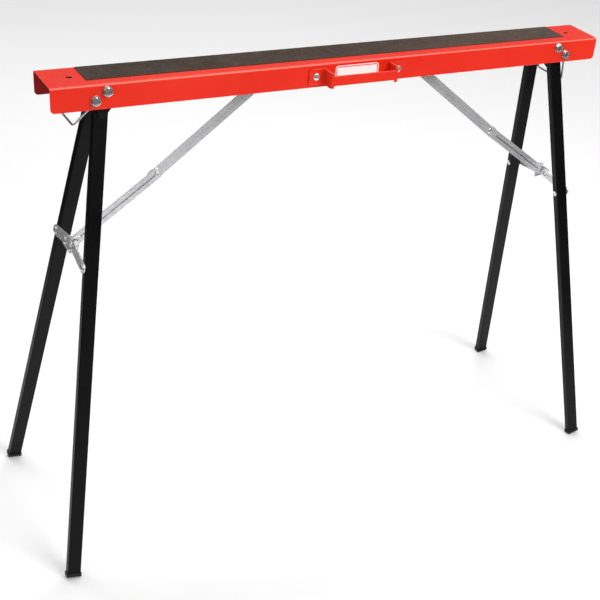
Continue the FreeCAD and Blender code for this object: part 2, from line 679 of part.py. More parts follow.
def make_leg(end, side):
    pivot, down, inward, outward = leg_axes(end, side)
    tag = end + "_" + side_name(end, side)
    reach = leg_reach(end) - val("cap_thick")
    body = doc.addObject("PartDesign::Body", "tube_body_" + tag)
    sketch = new_sketch(body, "tube_section_" + tag, "XY_Plane")
    rectangle(sketch, "tube_broad", "tube_narrow")
    rectangle(sketch, "tube_broad - 2 * tube_wall", "tube_narrow - 2 * tube_wall")
    tube = body.newObject("PartDesign::Pad", "tube_pad_" + tag)
    tube.Profile = sketch
    tube.Length = reach + val("leg_crown")
    doc.recompute()
    half_b, half_n = val("tube_broad") / 2, val("tube_narrow") / 2
    round_edges(body, "tube_corners_" + tag, "tube_edge", lambda middle, edge: (
        edge.BoundBox.ZLength > 100 and abs(abs(middle.x) - half_b) < 0.01
        and abs(abs(middle.y) - half_n) < 0.01))
    foot = pivot + down * reach
    body.Placement = frame(foot, outward, -down)
    pin_start = pivot - inward * val("tube_narrow")
    pin_drill = cylinder("pin_bore_" + tag, "pin_radius + pin_fit", "2 * tube_narrow",
                         frame(pin_start, outward, inward))
    rivet_start = pivot + down * val("rivet_along") - outward * val("tube_broad")
    rivet_drill = cylinder("rivet_bore_" + tag, "rivet_radius + drill_fit", "2 * tube_broad",
                           frame(rivet_start, -down, outward))
    publish(cut("tube_cut_" + tag, body, [pin_drill, rivet_drill]), "leg_tube_" + tag,
            TURNS[end])
    make_cap(end, tag, foot, down, outward)
    stand = val("tube_broad") / 2 + val("strip_gap") + val("strip_thick") + val("rivet_slack")
    stud = rivet("leg_rivet_" + tag, val("rivet_radius"), stand + val("tube_broad") / 2,
                 val("rivet_head"), val("rivet_dome"), val("rivet_tail"), val("rivet_tail_thick"))
    head = pivot + down * val("rivet_along") + outward * stand
    publish(stud, "spreader_rivet_" + tag,
            TURNS[end].multiply(frame(head, -down, outward)))


def make_cap(end, tag, foot, down, outward):
    """Plastic foot: a lipped shoe under the tube with a plug up inside it."""
    body = doc.addObject("PartDesign::Body", "cap_body_" + tag)
    shoe = new_sketch(body, "cap_shoe_" + tag, "XY_Plane")
    rectangle(shoe, "tube_broad + 2 * cap_lip", "tube_narrow + 2 * cap_lip")
    pad(body, shoe, "cap_shoe_pad_" + tag, "cap_thick")
    edge_b = val("tube_broad") / 2 + val("cap_lip")
    round_edges(body, "cap_corners_" + tag, "tube_edge", lambda middle, edge: (
        edge.BoundBox.ZLength > 1 and abs(abs(middle.x) - edge_b) < 0.01))
    plug = new_sketch(body, "cap_plug_" + tag, "XY_Plane")
    rectangle(plug, "tube_broad - 2 * tube_wall - 2 * plug_gap",
              "tube_narrow - 2 * tube_wall - 2 * plug_gap")
    pad(body, plug, "cap_plug_pad_" + tag, "cap_thick + cap_plug")
    publish(body, "foot_cap_" + tag, TURNS[end].multiply(
        frame(foot + down * val("cap_thick"), outward, -down)))


# ---------------------------------------------------------------- spreader and brace

def make_spreader(end, side):
    pivot, down, inward, outward = leg_axes(end, side)
    tag = end + "_" + side_name(end, side)
    length, along, up = strip_reach(end)
    body = doc.addObject("PartDesign::Body", "strip_body_" + tag)
    sketch = new_sketch(body, "strip_outline_" + tag, "XY_Plane")
    slot(sketch, length, "strip_width / 2")
    hole(sketch, 0.0, "rivet_radius + rivet_fit")
    hole(sketch, length, "middle_hole")
    pad(body, sketch, "strip_pad_" + tag, "strip_thick")
    heading = (inward * along - down * up).normalize()
    start = rivet_point(end, side) - outward * (val("strip_thick") / 2)
    publish(body, "spreader_" + tag, TURNS[end].multiply(frame(start, heading, outward)))


def make_brace(end):
    """Upper and lower brace strips with their rivets, and the yoke that joins the spreaders."""
    place = brace_points(end)
    anchor, elbow, knee = (vec(p[0], 0, p[1]) for p in
                           (place["anchor"], place["elbow"], place["knee"]))
    thick, gap = val("brace_thick"), val("brace_gap")
    toward = vec(0, -1, 0)
    upper_length = (elbow - anchor).Length
    lower_length = (knee - elbow).Length
    heading = (elbow - anchor).normalize()
    upper = doc.addObject("PartDesign::Body", "upper_body_" + end)
    sketch = new_sketch(upper, "upper_outline_" + end, "XY_Plane")
    slot(sketch, upper_length + val("brace_tail") - val("brace_width") / 2, "brace_width / 2")
    hole(sketch, 0.0, "rivet_radius + rivet_fit")
    hole(sketch, upper_length, "rivet_radius + snug_fit")
    pad(upper, sketch, "upper_pad_" + end, "brace_thick")
    # the ear bends over the lower strip's top edge and stops the elbow past its straight line
    top = val("brace_width") / 2
    lip = top + val("ear_gap")
    ear_x = upper_length + val("ear_start")
    wall = span("ear_wall_" + end, (ear_x, top - val("ear_root"), 0),
                (ear_x + val("ear_length"), lip + val("ear_thick"), thick))
    ear = span("ear_lip_" + end, (ear_x, lip, -2 * gap - thick),
               (ear_x + val("ear_length"), lip + val("ear_thick"), thick))
    front = anchor + toward * (thick / 2 + gap)
    publish(join("upper_solid_" + end, [upper, wall, ear]), "brace_upper_" + end,
            TURNS[end].multiply(frame(front, heading, toward)))
    stud = rivet("elbow_stud_" + end, val("rivet_radius"), 2 * thick + 2 * gap,
                 val("brace_head"), val("brace_dome"), val("tail_radius"), val("tail_thick"))
    face = elbow + toward * (thick * 1.5 + gap)
    publish(stud, "elbow_rivet_" + end, TURNS[end].multiply(frame(face, heading, toward)))
    lower = doc.addObject("PartDesign::Body", "lower_body_" + end)
    sketch = new_sketch(lower, "lower_outline_" + end, "XY_Plane")
    slot(sketch, lower_length, "brace_width / 2")
    hole(sketch, 0.0, "rivet_radius + rivet_fit")
    hole(sketch, lower_length, "rivet_radius + snug_fit")
    pad(lower, sketch, "lower_pad_" + end, "brace_thick")
    heading = (knee - elbow).normalize()
    publish(lower, "brace_lower_" + end, TURNS[end].multiply(
        frame(elbow - toward * (thick / 2), heading, toward)))
    knee_stud = turned("knee_stud_" + end, [
        (val("rivet_radius"), -2 * thick - 2 * gap), (val("rivet_radius"), 0.0),
        (val("brace_head"), 0.0), (val("brace_head"), val("knee_rim")),
        (val("knee_flat") * val("brace_head"), val("knee_dome"))])
    back = knee - toward * (thick * 1.5 + 2 * gap)
    publish(knee_stud, "knee_rivet_" + end, TURNS[end].multiply(
        frame(back, heading, -toward)))
    make_yoke(end, place)


def make_yoke(end, place):
    """Folded yoke: a cross tab outside the spreader strips and a web back to the knee."""
    centre = vec(place["yoke"][0], 0, place["yoke"][1])
    out = vec(place["out"][0], 0, place["out"][1])
    high = vec(place["high"][0], 0, place["high"][1])
    half = val("yoke_thick") / 2
    web_y = val("brace_thick") / 2 + val("brace_gap")
    tab = doc.addObject("PartDesign::Body", "yoke_tab_" + end)
    sketch = new_sketch(tab, "yoke_tab_outline_" + end, "XY_Plane")
    slot(sketch, 2 * val("middle_half"), "yoke_width / 2")
    hole(sketch, 0.0, "middle_pin + snug_fit")
    hole(sketch, 2 * val("middle_half"), "middle_pin + snug_fit")
    pad(tab, sketch, "yoke_tab_pad_" + end, "yoke_thick")
    # yoke frame: X outward, Y across the beam, Z up the leg
    tab.Placement = frame(vec(-half, -val("middle_half"), 0), vec(0, 1, 0), vec(1, 0, 0))
    web = span("yoke_web_" + end, (-val("yoke_back"), web_y, -val("yoke_width") / 2),
               (half, web_y + val("yoke_thick"), val("yoke_top")))
    lug = span("yoke_lug_" + end, (-half, web_y, 0),
               (half, val("gusset_reach"), val("yoke_top")))
    gusset = prism("yoke_gusset_" + end, [
        (-val("gusset_back"), web_y), (half, web_y), (half, val("gusset_reach")),
        (-half, val("gusset_reach")), (-val("gusset_back"), web_y + val("yoke_thick"))],
        "yoke_thick", FreeCAD.Placement(vec(0, 0, val("yoke_top") - val("yoke_thick")),
                                        FreeCAD.Rotation()))
    knee_drill = cylinder("yoke_drill_" + end, "rivet_radius + rivet_fit", "6 * yoke_thick",
                          frame(vec(-val("knee_back"), 0, val("knee_rise")),
                                vec(1, 0, 0), vec(0, 1, 0)))
    solid = join("yoke_solid_" + end, [tab, web, lug, gusset])
    spot = TURNS[end].multiply(frame(centre, out, high))
    publish(cut("yoke_cut_" + end, solid, [knee_drill]), "yoke_" + end, spot)
    studs = []
    for side in (-1, 1):
        pin = val("middle_pin")
        inner = val("yoke_thick") + val("collar_thick")
        tip = val("yoke_thick") + val("middle_gap") + val("middle_stub")
        stud = turned("middle_stud_" + end, [
            (pin, -tip), (pin, -inner), (val("collar_radius"), -inner),
            (val("collar_radius"), -val("yoke_thick")), (pin, -val("yoke_thick")), (pin, 0.0),
        ] + button(val("rivet_head"), val("rivet_dome")))
        stud.Placement = spot.multiply(frame(vec(half, side * val("middle_half"), 0),
                                             vec(0, 1, 0), vec(1, 0, 0)))
        studs.append(stud)
    publish(group("middle_stud_pair_" + end, studs), "middle_rivets_" + end)


# ---------------------------------------------------------------- wire bails

def make_bail(end):
    """U-shaped wire whose bent-out ends turn in holes low in the walls."""
    body = doc.addObject("PartDesign::Body", "bail_body_" + end)
    path = new_sketch(body, "bail_path_" + end, "XY_Plane")
    arm, half, bend = val("bail_arm"), val("bail_half"), val("bail_bend")
    tight = 2 * val("wire_radius")
    tip = val("beam_width") / 2 + val("bail_out")
    turn = math.pi / 2

    def arc(x, y, radius, start):
        circle = Part.Circle(vec(x, y, 0), vec(0, 0, 1), radius)
        path.addGeometry(Part.ArcOfCircle(circle, start, start + turn))

    def line(x0, y0, x1, y1):
        path.addGeometry(Part.LineSegment(vec(x0, y0, 0), vec(x1, y1, 0)))

    line(0, -tip, 0, -half - tight)
    arc(tight, -half - tight, tight, turn)
    line(tight, -half, arm - bend, -half)
    arc(arm - bend, -half + bend, bend, -turn)
    line(arm, -half + bend, arm, half - bend)
    arc(arm - bend, half - bend, bend, 0)
    line(arm - bend, half, tight, half)
    arc(tight, half + tight, tight, -2 * turn)
    line(0, half + tight, 0, tip)
    ring = new_sketch(body, "bail_ring_" + end, "XZ_Plane")
    hole(ring, 0.0, "wire_radius")
    ring.AttachmentOffset = FreeCAD.Placement(vec(0, 0, tip), FreeCAD.Rotation())
    doc.recompute()
    wire = body.newObject("PartDesign::AdditivePipe", "bail_wire_" + end)
    wire.Profile = ring
    wire.Spine = (path, ["Edge%d" % number for number in range(1, path.GeometryCount + 1)])
    doc.recompute()
    x, z = bail_axis()
    swing = math.radians(val("bail_%s_angle" % end))
    along = vec(math.cos(swing), 0, -math.sin(swing))
    upward = vec(math.sin(swing), 0, math.cos(swing))
    publish(body, "wire_bail_" + end, TURNS[end].multiply(frame(vec(x, 0, z), along, upward)))


# ---------------------------------------------------------------- assembly, checks and export

make_beam()
make_mat()
make_handle()
make_bolts()
hinge_pins = []
anchor_pins = []
for end_name in ("left", "right"):
    for side_sign in (-1, 1):
        hinge_pins.append(make_bracket(end_name, side_sign))
        make_leg(end_name, side_sign)
        make_spreader(end_name, side_sign)
    anchor_pins.append(make_anchor(end_name))
    make_brace(end_name)
    make_bail(end_name)
publish(group("hinge_pin_set", hinge_pins), "leg_hinge_pins")
publish(group("anchor_pin_set", anchor_pins), "anchor_pins")
doc.recompute()

for item in doc.Objects:
    if "Invalid" in item.State or "Error" in item.State:
        raise RuntimeError("failed: %s %s" % (item.Label, item.State))
for item in PARTS:
    if item.Shape.isNull() or not item.Shape.isValid():
        raise RuntimeError("bad shape: " + item.Label)

os.makedirs("parts", exist_ok=True)
for item in PARTS:
    item.Shape.exportStep("parts/%s.step" % item.Label)
    box = item.Shape.BoundBox
    print("%-28s solids %d  volume %9.1f  x %7.1f..%7.1f  y %6.1f..%6.1f  z %6.1f..%6.1f" % (
        item.Label, len(item.Shape.Solids), item.Shape.Volume,
        box.XMin, box.XMax, box.YMin, box.YMax, box.ZMin, box.ZMax))
print(len(PARTS), "sub-parts")
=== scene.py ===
# %% [markdown]
# # A folding sawhorse, dressed in Blender
# The sawhorse comes in as a finished frame: a bent steel beam, four tube legs, and the strips,
# yokes, rivets and bolts that let it fold. This lesson gives each of those pieces its finish,
# swaps the smallest fasteners for rounder ones, and sets up a floor, lights and a camera.
# We load the frame first, because every later piece is placed from its measurements.

# %% Load the frame and measure it
import bmesh
import bpy
import json
import math
from mathutils import Matrix, Vector


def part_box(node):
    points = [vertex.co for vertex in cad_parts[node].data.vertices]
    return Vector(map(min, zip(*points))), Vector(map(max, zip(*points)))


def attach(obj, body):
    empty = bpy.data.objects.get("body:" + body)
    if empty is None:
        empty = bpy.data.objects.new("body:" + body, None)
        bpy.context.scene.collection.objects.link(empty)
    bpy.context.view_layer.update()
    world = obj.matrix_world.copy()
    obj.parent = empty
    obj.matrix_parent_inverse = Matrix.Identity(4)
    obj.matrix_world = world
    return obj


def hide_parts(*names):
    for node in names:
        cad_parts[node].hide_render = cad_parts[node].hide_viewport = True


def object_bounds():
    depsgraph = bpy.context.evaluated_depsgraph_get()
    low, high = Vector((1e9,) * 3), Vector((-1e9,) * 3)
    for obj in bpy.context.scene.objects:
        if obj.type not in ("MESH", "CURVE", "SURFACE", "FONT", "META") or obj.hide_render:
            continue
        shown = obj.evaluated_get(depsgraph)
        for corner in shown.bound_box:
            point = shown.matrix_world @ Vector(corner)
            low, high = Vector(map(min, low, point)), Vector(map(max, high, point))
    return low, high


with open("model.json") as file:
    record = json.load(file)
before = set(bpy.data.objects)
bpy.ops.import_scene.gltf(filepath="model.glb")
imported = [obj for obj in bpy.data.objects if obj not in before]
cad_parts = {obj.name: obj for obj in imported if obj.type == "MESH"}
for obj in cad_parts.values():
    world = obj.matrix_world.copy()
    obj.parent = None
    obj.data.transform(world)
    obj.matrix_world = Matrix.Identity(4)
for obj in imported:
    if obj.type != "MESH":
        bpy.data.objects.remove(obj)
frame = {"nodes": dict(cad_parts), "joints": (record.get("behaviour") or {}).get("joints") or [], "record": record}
cad_low, cad_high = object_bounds()
nodes = frame["nodes"]
joints = {joint["name"]: joint for joint in frame["joints"]}
MM = 0.001
ENDS = ("left", "right")
SIDES = ("front", "rear")
print("pieces in the frame:", len(nodes), "size:", [round(v, 3) for v in cad_high - cad_low])

# %% [markdown]
# Surfaces that look real need many small node trees, so a short helper pays for itself. It adds
# one shader node, sets its options, and fills each named input with a plain value or with a
# wire from another node. The trees can then be read from top to bottom like a recipe.

# %% A helper that adds and wires one shader node
def node(tree, kind, options=None, **inputs):
    made = tree.nodes.new("ShaderNode" + kind)
    for key, value in (options or {}).items():
        setattr(made, key, value)
    for key, value in inputs.items():
        name = key.replace("_", " ")
        socket = made.inputs[int(key[1:])] if key[1:].isdigit() else made.inputs[name]
        if isinstance(value, bpy.types.NodeSocket):
            tree.links.new(value, socket)
        else:
            socket.default_value = value
    return made


def math_node(tree, operation, first, second=0.0):
    return node(tree, "Math", {"operation": operation}, i0=first, i1=second).outputs[0]


def spread(tree, value, low, high, start=0.0, end=1.0):
    """Stretch the band from low to high over the range from start to end."""
    made = node(tree, "MapRange", None, Value=value, From_Min=low, From_Max=high,
                To_Min=start, To_Max=end)
    return made.outputs["Result"]


def mix_colour(tree, factor, first, second, blend="MIX"):
    made = node(tree, "Mix", {"data_type": "RGBA", "blend_type": blend}, i0=factor)
    for socket, value in ((made.inputs[6], first), (made.inputs[7], second)):
        if isinstance(value, bpy.types.NodeSocket):
            tree.links.new(value, socket)
        else:
            socket.default_value = (*value, 1.0)
    return made.outputs[2]


print("helpers ready:", node.__name__, math_node.__name__, spread.__name__, mix_colour.__name__)

# %% [markdown]
# Several finishes share the same effects: cloudy tone, dust lying on top, scratches, rubbed
# edges. Each effect is built once as a node group with named inputs, and each material then
# sets its own amounts. A group hands back only masks and heights, so the shader itself stays
# in the material, where its settings can be read at a glance.

# %% Start a shared effect
def start_group(name, inputs, outputs):
    tree = bpy.data.node_groups.new(name, "ShaderNodeTree")
    for label, default in inputs:
        kind = "NodeSocketVector" if isinstance(default, tuple) else "NodeSocketFloat"
        socket = tree.interface.new_socket(label, in_out="INPUT", socket_type=kind)
        socket.default_value = default
    for label in outputs:
        tree.interface.new_socket(label, in_out="OUTPUT", socket_type="NodeSocketFloat")
    return tree, tree.nodes.new("NodeGroupInput"), tree.nodes.new("NodeGroupOutput")


def place_group(tree, name, **inputs):
    made = tree.nodes.new("ShaderNodeGroup")
    made.node_tree = bpy.data.node_groups[name]
    for key, value in inputs.items():
        made.inputs[key.replace("_", " ")].default_value = value
    return made


print("groups so far:", len(bpy.data.node_groups))

# %% [markdown]
# Cloudy tone: no sheet of metal or coat of paint is one flat colour. A slow noise, stretched so
# that only its middle band counts, gives broad soft patches. The noise runs on the object's own
# coordinates, so it stays put when the legs fold.

# %% Group: cloudy tone
tree, given, out = start_group("Cloudy tone", [("Scale", 6.0), ("Detail", 4.0), ("Low", 0.35),
                                             ("High", 0.65)], ["Mask"])
coords = node(tree, "TexCoord")
noise = node(tree, "TexNoise", None, Vector=coords.outputs["Object"],
             Scale=given.outputs["Scale"], Detail=given.outputs["Detail"], Roughness=0.55)
tree.links.new(spread(tree, noise.outputs["Fac"], given.outputs["Low"], given.outputs["High"]),
               out.inputs["Mask"])
print("group made:", tree.name)

# %% [markdown]
# Orange peel: powder paint melts into a skin that is never quite flat. Two noises, one about as
# wide as a lentil and one as fine as sand, added together make its height.

# %% Group: orange peel
tree, given, out = start_group("Orange peel", [("Scale", 500.0), ("Fine Share", 0.3)], ["Height"])
coords = node(tree, "TexCoord")
broad = node(tree, "TexNoise", None, Vector=coords.outputs["Object"],
             Scale=given.outputs["Scale"], Detail=1.0)
fine_scale = math_node(tree, "MULTIPLY", given.outputs["Scale"], 4.0)
fine = node(tree, "TexNoise", None, Vector=coords.outputs["Object"], Scale=fine_scale, Detail=2.0)
fine_part = math_node(tree, "MULTIPLY", fine.outputs["Fac"], given.outputs["Fine Share"])
tree.links.new(math_node(tree, "ADD", broad.outputs["Fac"], fine_part), out.inputs["Height"])
print("group made:", tree.name)

# %% [markdown]
# Scratches: thin lines that run mostly one way, as when a piece slides past another. The
# coordinates are squeezed along one axis before the noise is read, which draws its blobs out
# into streaks, and a second noise breaks the streaks up so that they come and go.

# %% Group: scratches
tree, given, out = start_group("Scratches", [("Squeeze", (1.0, 1.0, 0.04)), ("Scale", 260.0),
                                           ("Cover", 0.5)], ["Mask"])
coords = node(tree, "TexCoord")
squeezed = node(tree, "VectorMath", {"operation": "MULTIPLY"}, i0=coords.outputs["Object"],
                i1=given.outputs["Squeeze"])
streaks = node(tree, "TexNoise", None, Vector=squeezed.outputs[0],
               Scale=given.outputs["Scale"], Detail=3.0, Distortion=0.4)
lines = spread(tree, streaks.outputs["Fac"], 0.60, 0.70)
patches = node(tree, "TexNoise", None, Vector=coords.outputs["Object"], Scale=18.0, Detail=3.0)
gate = math_node(tree, "SUBTRACT", 1.0, given.outputs["Cover"])
allowed = spread(tree, patches.outputs["Fac"], gate, math_node(tree, "ADD", gate, 0.12))
tree.links.new(math_node(tree, "MULTIPLY", lines, allowed), out.inputs["Mask"])
print("group made:", tree.name)

# %% [markdown]
# Rubbed edges: handling wears corners first. The Bevel node gives the direction that a rounded
# corner would face. Where it differs from the true face there is an edge, and a noise leaves
# some stretches of the edge untouched. On the red coat this edge mask also carries a painted
# highlight, a pale pink line where light would catch the edges.

# %% Group: rubbed edges and painted edge highlight
tree, given, out = start_group("Edge wear and painted highlight", [("Width", 0.0008), ("Breakup", 90.0),
                                              ("Amount", 0.6)], ["Mask"])
rounded = node(tree, "Bevel", {"samples": 4}, Radius=given.outputs["Width"])
true_face = node(tree, "NewGeometry")
same = node(tree, "VectorMath", {"operation": "DOT_PRODUCT"}, i0=rounded.outputs["Normal"],
            i1=true_face.outputs["Normal"])
edge = spread(tree, same.outputs["Value"], 0.995, 0.90)
coords = node(tree, "TexCoord")
broken = node(tree, "TexNoise", None, Vector=coords.outputs["Object"],
              Scale=given.outputs["Breakup"], Detail=4.0)
kept = spread(tree, broken.outputs["Fac"], 0.46, 0.60)
worn_and_sheen_edge = math_node(tree, "MULTIPLY", edge, kept)
tree.links.new(math_node(tree, "MULTIPLY", worn_and_sheen_edge, given.outputs["Amount"]), out.inputs["Mask"])
print("group made:", tree.name)

# %% [markdown]
# Dust: it settles on faces that look up. The upward part of the face's direction, times a fine
# noise, is the dust's cover.

# %% Group: settled dust
tree, given, out = start_group("Settled dust", [("Amount", 0.2), ("Scale", 120.0)], ["Mask"])
face = node(tree, "NewGeometry")
upward = node(tree, "SeparateXYZ", None, Vector=face.outputs["Normal"])
lying = spread(tree, upward.outputs["Z"], 0.1, 1.0)
coords = node(tree, "TexCoord")
grains = node(tree, "TexNoise", None, Vector=coords.outputs["Object"],
              Scale=given.outputs["Scale"], Detail=6.0, Roughness=0.7)
thick = spread(tree, grains.outputs["Fac"], 0.42, 0.68)
cover = math_node(tree, "MULTIPLY", lying, thick)
tree.links.new(math_node(tree, "MULTIPLY", cover, given.outputs["Amount"]), out.inputs["Mask"])
print("group made:", tree.name)

# %% [markdown]
# Zinc spangle: hot zinc freezes on steel in flat crystals that each catch the light their own
# way. A Voronoi pattern has just such cells, and the random colour that it gives each cell
# serves as that crystal's shade. Bending the coordinates a little first keeps the cells from
# having ruler-straight sides.

# %% Group: zinc spangle
tree, given, out = start_group("Zinc spangle", [("Scale", 150.0), ("Waver", 0.004)],
                             ["Shade", "Height"])
coords = node(tree, "TexCoord")
waver = node(tree, "TexNoise", None, Vector=coords.outputs["Object"], Scale=120.0, Detail=2.0)
shift = node(tree, "VectorMath", {"operation": "SCALE"}, i0=waver.outputs["Color"],
             Scale=given.outputs["Waver"])
bent = node(tree, "VectorMath", {"operation": "ADD"}, i0=coords.outputs["Object"],
            i1=shift.outputs[0])
cells = node(tree, "TexVoronoi", None, Vector=bent.outputs[0], Scale=given.outputs["Scale"])
shade = node(tree, "SeparateColor", None, Color=cells.outputs["Color"])
tree.links.new(shade.outputs[0], out.inputs["Shade"])
tree.links.new(cells.outputs["Distance"], out.inputs["Height"])
print("group made:", tree.name)

# %% [markdown]
# Painted shade inside the channel: the faces between the beam's walls and under its roof get a
# darker red, painted on as shade. Along the two long bends it is the other way round: a pale band
# is painted on as a highlight. The beam stays where the frame puts it, so its own coordinates tell
# which faces lie between the walls and under the roof, and which ones turn round a bend.

# %% Group: painted shade inside the channel, painted highlight on the bends
INNER_SKIN, BEND_INSET, BEND_DROP, BEND_BAND = 1.4 * MM, 2.1 * MM, 2.2 * MM, 0.8 * MM
beam_low, beam_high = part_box("beam_channel")
tree, given, out = start_group("Painted channel shade and bend highlight", [
    ("Half Width", beam_high.y - INNER_SKIN), ("Roof", beam_high.z - INNER_SKIN),
    ("Bend Side", beam_high.y - BEND_INSET), ("Bend Top", beam_high.z - BEND_DROP)],
    ["Mask", "Bend"])
coords = node(tree, "TexCoord")
place = node(tree, "SeparateXYZ", None, Vector=coords.outputs["Object"])
aside = math_node(tree, "ABSOLUTE", place.outputs["Y"])
between = math_node(tree, "LESS_THAN", aside, given.outputs["Half Width"])
under = math_node(tree, "LESS_THAN", place.outputs["Z"], given.outputs["Roof"])
# Mask: painted shade on the faces between the walls and under the roof.
tree.links.new(math_node(tree, "MULTIPLY", between, under), out.inputs["Mask"])
# Bend: a painted highlight band round the two long outer bends.
far_side = math_node(tree, "ADD", given.outputs["Bend Side"], BEND_BAND)
far_top = math_node(tree, "ADD", given.outputs["Bend Top"], BEND_BAND)
outward = spread(tree, aside, given.outputs["Bend Side"], far_side)
upward = spread(tree, place.outputs["Z"], given.outputs["Bend Top"], far_top)
tree.links.new(math_node(tree, "MULTIPLY", outward, upward), out.inputs["Bend"])
print("group made:", tree.name)

# %% [markdown]
# Each material begins the same way: a Principled shader with its constants set on its own
# sockets, and a Bump node that feeds its normal. This helper makes both and leaves the colour
# and roughness for the material to wire up.

# %% A helper that starts a material
def start_material(name, metallic, **constants):
    material = bpy.data.materials.new(name)
    material.use_nodes = True
    tree = material.node_tree
    tree.nodes.clear()
    shader = node(tree, "BsdfPrincipled", None, Metallic=metallic, **constants)
    output = node(tree, "OutputMaterial", None, Surface=shader.outputs[0])
    output.is_active_output = True
    return material, tree, shader


def wire(tree, source, shader, name):
    tree.links.new(source, shader.inputs[name])


def add_bump(tree, shader, height, distance, strength=1.0):
    bump = node(tree, "Bump", None, Height=height, Distance=distance, Strength=strength)
    wire(tree, bump.outputs[0], shader, "Normal")


print("effects ready for the materials:", len(bpy.data.node_groups))

# %% [markdown]
# Red powder coat covers the beam and the carry handle. It is a thick satin paint: a strong
# orange-red body, a clear skin with orange peel, a slightly deeper tone in slow clouds, painted
# shade inside the channel, a painted pale pink highlight along the two long bends, a chalky pink
# on the edges that is rubbed wear and painted highlight together, and a breath of dust on the top.

# %% Material: red powder coat
def make_red():
    material, tree, shader = start_material(
        "red powder coat", 0.0, IOR=1.5, Specular_IOR_Level=0.2, Coat_Weight=0.05,
        Coat_Roughness=0.2)
    clouds = place_group(tree, "Cloudy tone", Scale=5.0, Low=0.3, High=0.7)
    body = mix_colour(tree, clouds.outputs["Mask"], (0.68, 0.015, 0.005), (0.76, 0.025, 0.008))
    channel_shade_and_bend_light = place_group(tree, "Painted channel shade and bend highlight")
    # Painted shade: the inner faces of the channel are darkened.
    body = mix_colour(tree, channel_shade_and_bend_light.outputs["Mask"], body, (0.30, 0.006, 0.005))
    # Painted highlight: a pale pink band along the two long bends.
    bend_highlight = math_node(tree, "MULTIPLY", channel_shade_and_bend_light.outputs["Bend"], 0.75)
    body = mix_colour(tree, bend_highlight, body, (0.95, 0.30, 0.21))
    # Chalky pink on the edges: rubbed wear and a painted highlight together.
    edge_wear_and_sheen = place_group(tree, "Edge wear and painted highlight", Width=0.0012, Amount=0.75, Breakup=110.0)
    body = mix_colour(tree, edge_wear_and_sheen.outputs["Mask"], body, (0.92, 0.34, 0.26))
    dust = place_group(tree, "Settled dust", Amount=0.06, Scale=200.0)
    body = mix_colour(tree, dust.outputs["Mask"], body, (0.75, 0.55, 0.48))
    wire(tree, body, shader, "Base Color")
    marks = place_group(tree, "Scratches", Scale=420.0, Cover=0.28)
    marks.inputs["Squeeze"].default_value = (0.05, 1.0, 1.0)
    smooth = spread(tree, clouds.outputs["Mask"], 0.0, 1.0, 0.30, 0.38)
    rough = math_node(tree, "ADD", smooth, math_node(tree, "MULTIPLY", marks.outputs["Mask"], 0.15))
    wire(tree, rough, shader, "Roughness")
    peel = place_group(tree, "Orange peel", Scale=420.0, Fine_Share=0.25)
    add_bump(tree, shader, peel.outputs["Height"], 0.00012, 0.5)
    return material


red_coat = make_red()
print("material made:", red_coat.name)

# %% [markdown]
# The grip strip is a gritty brown-black sheet, like coarse sandpaper. Its colour comes from two
# noises: broad rubbed patches that are browner, and grains that catch the light one by one. A
# strong fine bump keeps it from ever looking smooth.

# %% Material: gritty grip strip
def make_grip():
    material, tree, shader = start_material("gritty grip strip", 0.0, IOR=1.45,
                                            Specular_IOR_Level=0.2)
    patches = place_group(tree, "Cloudy tone", Scale=3.2, Detail=6.0, Low=0.36, High=0.66)
    body = mix_colour(tree, patches.outputs["Mask"], (0.036, 0.022, 0.016), (0.068, 0.046, 0.034))
    coords = node(tree, "TexCoord")
    grit = node(tree, "TexVoronoi", None, Vector=coords.outputs["Object"], Scale=900.0)
    tone = node(tree, "SeparateColor", None, Color=grit.outputs["Color"])
    sparkle = spread(tree, tone.outputs[0], 0.82, 1.0)
    body = mix_colour(tree, math_node(tree, "MULTIPLY", sparkle, 0.55), body, (0.16, 0.125, 0.10))
    pits = spread(tree, tone.outputs[1], 0.75, 1.0)
    body = mix_colour(tree, math_node(tree, "MULTIPLY", pits, 0.6), body, (0.018, 0.013, 0.011))
    dust = place_group(tree, "Settled dust", Amount=0.10, Scale=60.0)
    body = mix_colour(tree, dust.outputs["Mask"], body, (0.20, 0.16, 0.13))
    wire(tree, body, shader, "Base Color")
    wire(tree, spread(tree, tone.outputs[0], 0.0, 1.0, 0.72, 0.95), shader, "Roughness")
    fine = place_group(tree, "Orange peel", Scale=1500.0, Fine_Share=0.6)
    height = math_node(tree, "ADD", fine.outputs["Height"], grit.outputs["Distance"])
    add_bump(tree, shader, height, 0.0004, 0.8)
    return material


grip = make_grip()
print("material made:", grip.name)

# %% [markdown]
# Black powder coat is on the legs and their brackets. It is the red coat's cousin: near black,
# a satin sheen, long handling scratches down the tube, and edges rubbed to grey.

